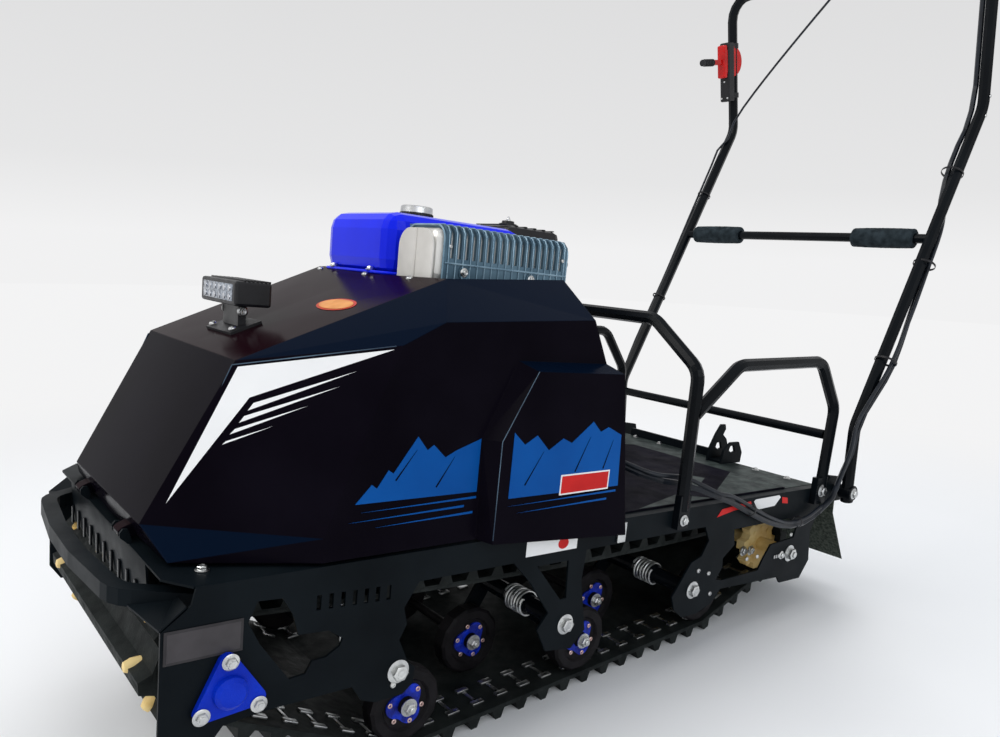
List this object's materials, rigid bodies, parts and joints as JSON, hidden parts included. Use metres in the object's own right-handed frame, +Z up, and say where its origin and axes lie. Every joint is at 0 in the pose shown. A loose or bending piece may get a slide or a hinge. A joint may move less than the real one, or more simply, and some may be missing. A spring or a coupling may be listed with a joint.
{
  "type": "motorized snow tow",
  "caption": "Walk-behind tracked snow tow: engine under a faceted hood on a flat deck with side rails, one wide rubber track on sprung rollers below, tall tilting handle behind.",
  "frame": {"origin": "on the ground under the middle of the machine's overall length and width, standing parked on its track", "axes": "+X forward, from the handle to the bumper; +Y to the machine's left; +Z up"},
  "size_m": [1.9416, 0.7475, 1.5308],
  "materials": {
    "frame_black": "satin black paint",
    "tube_black": "gloss black paint",
    "hood_black": "gloss paint, black with a purple tint",
    "track_rubber": "moulded rubber",
    "roller_rubber": "moulded rubber on a plastic hub",
    "sprocket_cream": "moulded nylon",
    "cast_blue": "gloss blue paint on casting",
    "tank_blue": "gloss blue paint",
    "zinc_steel": "zinc plated",
    "engine_grey": "dark grey casting",
    "muffler_grey": "bare steel",
    "guard_steel": "plated sheet",
    "black_plastic": "textured",
    "deck_mat": "ribbed mat",
    "red_plastic": "glossy",
    "grip_foam": "closed-cell foam",
    "cable_black": "sheathed cable"
  },
  "bodies": {
    "chassis": {"air_filter": "black_plastic", "bearing_flange_left": "cast_blue", "bearing_flange_right": "cast_blue", "deck": "frame_black", "deck_mat": "deck_mat", "drive_shaft": "sprocket_cream", "engine_block": "engine_grey", "front_bumper": "frame_black", "fuel_cap": "zinc_steel", "fuel_tank": "tank_blue", "hood_latch": "zinc_steel", "inner_rollers_middle": "roller_rubber", "inner_rollers_rear": "roller_rubber", "lower_cables": "cable_black", "mud_flap": "track_rubber", "muffler": "muffler_grey", "muffler_guard": "guard_steel", "outer_roller_front_left": "roller_rubber", "outer_roller_front_right": "roller_rubber", "outer_roller_middle_left": "roller_rubber", "outer_roller_middle_right": "roller_rubber", "outer_roller_rear_left": "roller_rubber", "outer_roller_rear_right": "roller_rubber", "rack_crossbar": "tube_black", "rack_hoop": "tube_black", "rack_rail_left": "tube_black", "rack_rail_right": "tube_black", "rear_plate": "frame_black", "side_plate_left": "frame_black", "side_plate_right": "frame_black", "suspension_front": "tube_black", "suspension_middle": "tube_black", "suspension_rear": "tube_black", "tension_shaft": "sprocket_cream", "tow_hitch": "frame_black", "track": "track_rubber"},
    "hood": {"headlight": "black_plastic", "hood": "hood_black"},
    "handle": {"crossbar_pad_left": "grip_foam", "crossbar_pad_right": "grip_foam", "handle": "tube_black", "throttle_body": "black_plastic", "throttle_grip": "black_plastic", "throttle_lever": "red_plastic", "upper_cables": "cable_black"}
  },
  "joints": [
    {"name": "hood_tilt", "type": "hinge", "parent": "chassis", "child": "hood", "pos_m": [0.9142, 0, 0.40733], "axis": [0, 1, 0], "range_deg": [0, 60]},
    {"name": "handle_tilt", "type": "hinge", "parent": "chassis", "child": "handle", "pos_m": [-0.55654, 0, 0.28132], "axis": [0, 1, 0], "range_deg": [-35, 60]}
  ]
}
